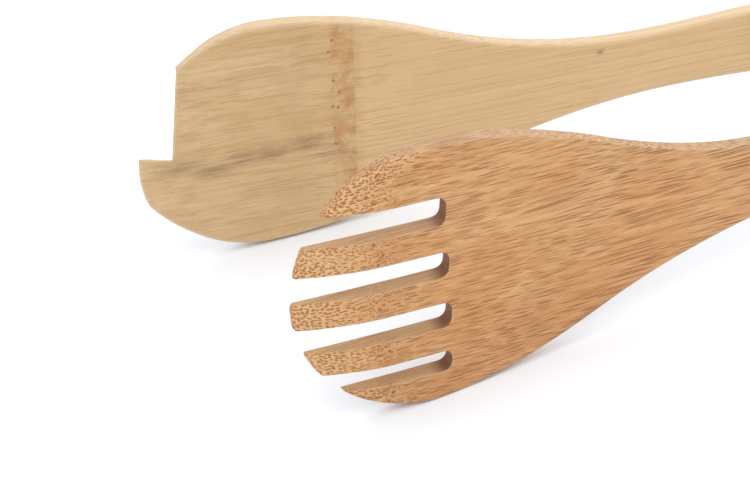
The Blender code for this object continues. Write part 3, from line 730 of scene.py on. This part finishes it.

    # Stains, pits, and the slots' ends darker brown: scorched end grain, with painted shade deep in the
    # slots
    ragged = n.noise(n.scale(grain, (0.5, 1.6, 1.0)), 3.0, 0.6)
    for stain in look["stains"]:
        mask = marks(n, n.join(0.0, n.math("MULTIPLY", n.centred(ragged), 3.0), 0.0),
                     stain["places"], stain["stretch"], 0.0, stain["size"])
        mask = n.math("MULTIPLY", mask, n.smooth(ground, stain["ragged"][0], stain["ragged"][1]))
        color = n.mix(n.math("MULTIPLY", mask, stain["strength"]), color, stain["color"])
    warp = n.math("MULTIPLY", n.centred(ragged), 1.2)
    pits = marks(n, n.join(warp, warp, 0.0), look["pits"], 1.2, 0.12, look["pit_size"])
    color = n.mix(n.math("MULTIPLY", pits, 0.7), color, look["pit_color"])
    # Darker brown towards the slots' ends: scorched end grain, and painted shade deep in the slots
    color = n.mix(n.math("MULTIPLY", n.attribute("scorch_and_shade"), 0.85), color, look["scorch_and_shade_color"])

    relief = n.math("SUBTRACT", n.math("MULTIPLY", ground, 0.5), n.math("MULTIPLY", bundle, strength))
    relief = n.math("SUBTRACT", relief, n.math("MULTIPLY", pits, 2.0))
    rough = n.math("ADD", n.math("MULTIPLY", bundle, 0.12), look["roughness"])
    return n.finish(color, rough, n.bump(relief, look["relief"]), Specular_IOR_Level=0.3)


FORK_LOOK = dict(
    break_up=0.17, node=19.5, node_reach=9.0, curl=3.2, curl_scale=(0.30, 0.40, 0.40),
    bundle=(0.54, 0.40), glint=0.6,
    mid=srgb(188, 138, 86), light=srgb(204, 156, 105), warm=srgb(189, 128, 72), warmth=0.5,
    # low, low shade tint and low shade colour: painted shade towards the head's lower side
    cloud=0.10, low=(-6.0, -28.0), low_shade_tint=0.4, low_shade_color=srgb(178, 120, 76),
    band=(13.0, 24.5), band_tint=0.55, band_color=srgb(186, 122, 66),
    dark=srgb(130, 78, 38), cut_dark=srgb(142, 84, 40), contrast=0.84, cut_light=0.75,
    # edge highlight colour and tint: painted highlight along the rounded edges
    net=srgb(214, 170, 120), edge_highlight_color=srgb(184, 154, 118), edge_highlight_tint=0.6, edge_cut=(0.5, 0.1),
    # wall colour: painted shade inside the slots, with the cut's greyer tone
    wall_tone_and_shade_color=srgb(184, 142, 98), wall_tone_and_shade_tint=0.5,
    # scorch and shade colour: scorched end grain, and painted shade deep in the slots
    scorch_and_shade_color=srgb(112, 62, 34), roughness=0.46, relief=0.00007,
    pits=[(18, 12), (20, 9), (19, 7), (17, 23), (20, -3), (19, -4), (21, -15), (22, -26)],
    pit_size=0.34, pit_color=srgb(104, 56, 28), stains=[],
)

SPATULA_LOOK = dict(
    break_up=0.30, node=51.5, node_reach=34.0, curl=1.6, curl_scale=(0.12, 0.22, 0.30),
    bundle=(0.85, 0.60), glint=0.3,
    mid=srgb(198, 164, 119), light=srgb(208, 178, 134), warm=srgb(196, 160, 112), warmth=0.4,
    # low, low shade tint and low shade colour: painted shade towards the head's lower side
    cloud=0.16, low=(-6.0, -30.0), low_shade_tint=0.05, low_shade_color=srgb(184, 146, 98),
    band=(49.5, 57.0), band_tint=0.85, band_color=srgb(184, 134, 80),
    pale=(56.0, 60.0), pale_tint=0.55, pale_color=srgb(218, 186, 140),
    dark=srgb(146, 106, 64), cut_dark=srgb(146, 106, 64), contrast=0.24, cut_light=0.15,
    # edge highlight colour and tint: painted highlight along the rounded edges
    net=srgb(208, 178, 134), edge_highlight_color=srgb(216, 190, 156), edge_highlight_tint=0.6, edge_cut=(1.4, 0.8),
    wall_tone_and_shade_color=srgb(200, 170, 132), wall_tone_and_shade_tint=0.3,
    scorch_and_shade_color=srgb(112, 72, 48), roughness=0.5, relief=0.00004,
    pits=[(51, 23), (50, 20), (51, 12), (52.5, 8.5), (50.5, 5), (52, 4.5), (51, -1), (51, -5.5)],
    pit_size=0.42, pit_color=srgb(128, 82, 44),
    stains=[
        dict(places=[(9, -4), (18, -6.5), (26, -5), (33, -5), (44, -4), (49, -7)],
             stretch=3.0, size=3.4, ragged=(0.72, 0.40), strength=0.85, color=srgb(146, 118, 86)),
        dict(places=[(125.9, 6.1)],
             stretch=1.6, size=1.1, ragged=(0.95, 0.70), strength=0.7, color=srgb(140, 106, 72)),
    ],
)


def steel(name, color, roughness, grit):
    """Brushed stainless steel, with fine scratches along the piece."""
    n = Nodes(name)
    place = n.add("ShaderNodeTexCoord").outputs["Object"]
    scratch = n.noise(n.scale(place, (60.0, 60.0, 5200.0)), 4.0, 0.7)
    smudge = n.noise(n.scale(place, (130.0, 130.0, 130.0)), 3.0, 0.6)
    rough = n.math("ADD", n.math("MULTIPLY", scratch, 0.20), roughness)
    rough = n.math("ADD", rough, n.math("MULTIPLY", smudge, 0.12))
    tint = n.mix(n.math("MULTIPLY", scratch, 0.5), color, tuple(0.72 * c for c in color))
    normal = n.bump(scratch, grit, 0.6)
    return n.finish(tint, rough, normal, Metallic=1.0)


def nylon(name, color):
    """Natural nylon, with a fine moulded grain."""
    n = Nodes(name)
    place = n.add("ShaderNodeTexCoord").outputs["Object"]
    texture = n.noise(n.scale(place, (1800.0, 1800.0, 1800.0)), 3.0, 0.6)
    cloud = n.noise(n.scale(place, (160.0, 160.0, 160.0)), 2.0)
    tint = n.mix(n.math("MULTIPLY", cloud, 0.6), color, tuple(0.85 * c for c in color))
    rough = n.math("ADD", n.math("MULTIPLY", texture, 0.15), 0.42)
    return n.finish(tint, rough, n.bump(texture, 0.00004, 0.5), Subsurface_Weight=0.1)


# Building

def add_piece(mesh, body, node, material):
    obj = bpy.data.objects.new(mesh.name, mesh)
    bpy.context.scene.collection.objects.link(obj)
    mesh.materials.append(material)
    for polygon in mesh.polygons:
        polygon.use_smooth = True
    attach(obj, body)
    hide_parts(node)


add_piece(arm_mesh(FORK), "fork_side", "fork_arm",
          bamboo("fork_bamboo_grain", FORK_LOOK))
add_piece(arm_mesh(SPATULA), "spatula_side", "spatula_arm",
          bamboo("spatula_bamboo_grain", SPATULA_LOOK))


# The spring

WIRE_RADIUS = 0.75
COIL_RADIUS = 5.95
COIL_TURNS = 5
COIL_LOW, COIL_HIGH = -5.6, 4.1
LEG_LENGTH = 38.0


def spring_wire():
    """The coil round the sleeve with a straight leg along each arm, as one round wire."""
    first = -math.pi / 2 + OPEN_ANGLE
    sweep = 2 * math.pi * COIL_TURNS + math.pi - 2 * OPEN_ANGLE
    steps = COIL_TURNS * 40 + 18
    path = []
    for step in range(steps + 1):
        angle = first + sweep * step / steps
        rise = COIL_LOW + (COIL_HIGH - COIL_LOW) * step / steps
        path.append(Vector((COIL_RADIUS * math.cos(angle), COIL_RADIUS * math.sin(angle), rise)))
    legs = [Vector((-math.cos(OPEN_ANGLE), side * math.sin(OPEN_ANGLE), 0.0)) for side in (-1, 1)]
    runs = [LEG_LENGTH * (1 - step / 12) for step in range(12)]
    first, last = ([end + run * leg for run in runs] for end, leg in zip((path[0], path[-1]), legs))
    path = first + path + last[::-1]
    curve = bpy.data.curves.new("torsion_spring_wire", "CURVE")
    curve.dimensions = "3D"
    curve.bevel_depth = WIRE_RADIUS * MM
    curve.bevel_resolution = 3
    curve.use_fill_caps = True
    spline = curve.splines.new("POLY")
    spline.points.add(len(path) - 1)
    for point, place in zip(spline.points, path):
        point.co = (*(HINGE @ (place * MM)), 1.0)
    rod = bpy.data.objects.new("spring_curve", curve)
    bpy.context.scene.collection.objects.link(rod)
    bpy.context.view_layer.update()
    mesh = bpy.data.meshes.new_from_object(rod.evaluated_get(bpy.context.evaluated_depsgraph_get()))
    bpy.data.objects.remove(rod)
    bpy.data.curves.remove(curve)
    mesh.name = "torsion_spring_wire"
    return mesh


spring_mesh = spring_wire()
spring_mesh.materials.clear()
spring_mesh.materials.append(steel("spring_steel", (0.62, 0.62, 0.64), 0.20, 0.00001))
for polygon in spring_mesh.polygons:
    polygon.use_smooth = True
spring = bpy.data.objects.new("torsion_spring_wire", spring_mesh)
bpy.context.scene.collection.objects.link(spring)
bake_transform(spring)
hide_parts("torsion_spring")


# The CAD pieces that stay

KEPT = {
    "brushed_sheet": ["fork_bracket", "spatula_bracket", "lock_slider", "pin_washer"],
    "bright_rod": [
        "hinge_pin",
        "fork_rivet_front", "fork_rivet_rear", "spatula_rivet_front", "spatula_rivet_rear",
        "fork_rivet_washer_front", "fork_rivet_washer_rear",
        "spatula_rivet_washer_front", "spatula_rivet_washer_rear",
    ],
    "moulded_nylon": ["spacer_sleeve", "slider_washer", "upper_ear_washer", "lower_ear_washer"],
}
FINISHES = {
    "brushed_sheet": steel("brushed_sheet", (0.56, 0.56, 0.57), 0.24, 0.00002),
    "bright_rod": steel("bright_rod", (0.66, 0.66, 0.67), 0.16, 0.00001),
    "moulded_nylon": nylon("moulded_nylon", (0.72, 0.70, 0.64)),
}
for finish, names in KEPT.items():
    for name in names:
        node = frame["nodes"][name]
        for place in node.material_slots:
            place.material = FINISHES[finish]
        bevel = node.modifiers.new("edges", "BEVEL")
        bevel.width = 0.22 * MM if finish == "brushed_sheet" else 0.12 * MM
        bevel.segments = 2
        bevel.limit_method = "ANGLE"
        bevel.angle_limit = math.radians(40)


# Floor, light and camera

def stage_floor():
    mesh = bpy.data.meshes.new("floor")
    half = 3.0
    corners = [(-half, -half), (half, -half), (half, half), (-half, half)]
    mesh.from_pydata([(x, y, -0.0001) for x, y in corners], [], [(0, 1, 2, 3)])
    n = Nodes("floor_white")
    n.finish((0.88, 0.90, 0.925), 0.9, Specular_IOR_Level=0.1)
    mesh.materials.append(n.material)
    obj = bpy.data.objects.new("floor", mesh)
    bpy.context.scene.collection.objects.link(obj)


def world_light(zenith, horizon):
    world = bpy.data.worlds.new("studio")
    bpy.context.scene.world = world
    world.use_nodes = True
    tree = world.node_tree
    background = tree.nodes["Background"]
    background.inputs["Color"].default_value = (0.955, 1.0, 1.055, 1.0)
    coordinates = tree.nodes.new("ShaderNodeTexCoord")
    split = tree.nodes.new("ShaderNodeSeparateXYZ")
    tree.links.new(coordinates.outputs["Generated"], split.inputs[0])
    ramp = tree.nodes.new("ShaderNodeMapRange")
    ramp.inputs["From Min"].default_value = 0.0
    ramp.inputs["From Max"].default_value = 1.0
    ramp.inputs["To Min"].default_value = horizon
    ramp.inputs["To Max"].default_value = zenith
    tree.links.new(split.outputs["Z"], ramp.inputs["Value"])
    tree.links.new(ramp.outputs[0], background.inputs["Strength"])


def area_light(name, place, aim, size, power):
    light = bpy.data.lights.new(name, "AREA")
    light.shape = "DISK"
    light.size = size
    light.energy = power
    obj = bpy.data.objects.new(name, light)
    bpy.context.scene.collection.objects.link(obj)
    obj.location = place
    obj.rotation_euler = (Vector(place) - Vector(aim)).to_track_quat("Z", "Y").to_euler()


def add_camera():
    azimuth, elevation, roll = math.radians(-26.10982), math.radians(29.441765), math.radians(-5.372690)
    level = math.cos(elevation)
    back = Vector((math.sin(azimuth) * level, -math.cos(azimuth) * level, math.sin(elevation)))
    data = bpy.data.cameras.new("camera")
    data.sensor_width = 36.0
    data.lens = 92.726
    data.clip_start = 0.01
    obj = bpy.data.objects.new("camera", data)
    bpy.context.scene.collection.objects.link(obj)
    obj.location = (-0.29575131, -0.36606247, 0.24327107)
    obj.rotation_mode = "QUATERNION"
    obj.rotation_quaternion = (-back).to_track_quat("-Z", "Y") @ Quaternion((0, 0, 1), roll)
    bpy.context.scene.camera = obj


stage_floor()
world_light(1.14, 0.88)
area_light("key", (-0.7, -0.8, 1.3), (-0.1, 0.0, 0.0), 1.4, 5.5)
area_light("side", (0.8, 0.1, 0.9), (-0.1, 0.0, 0.0), 1.3, 5.0)
area_light("fill", (0.5, -1.1, 0.8), (-0.1, 0.0, 0.0), 1.2, 2.5)
add_camera()
bpy.context.scene.view_settings.view_transform = "Standard"
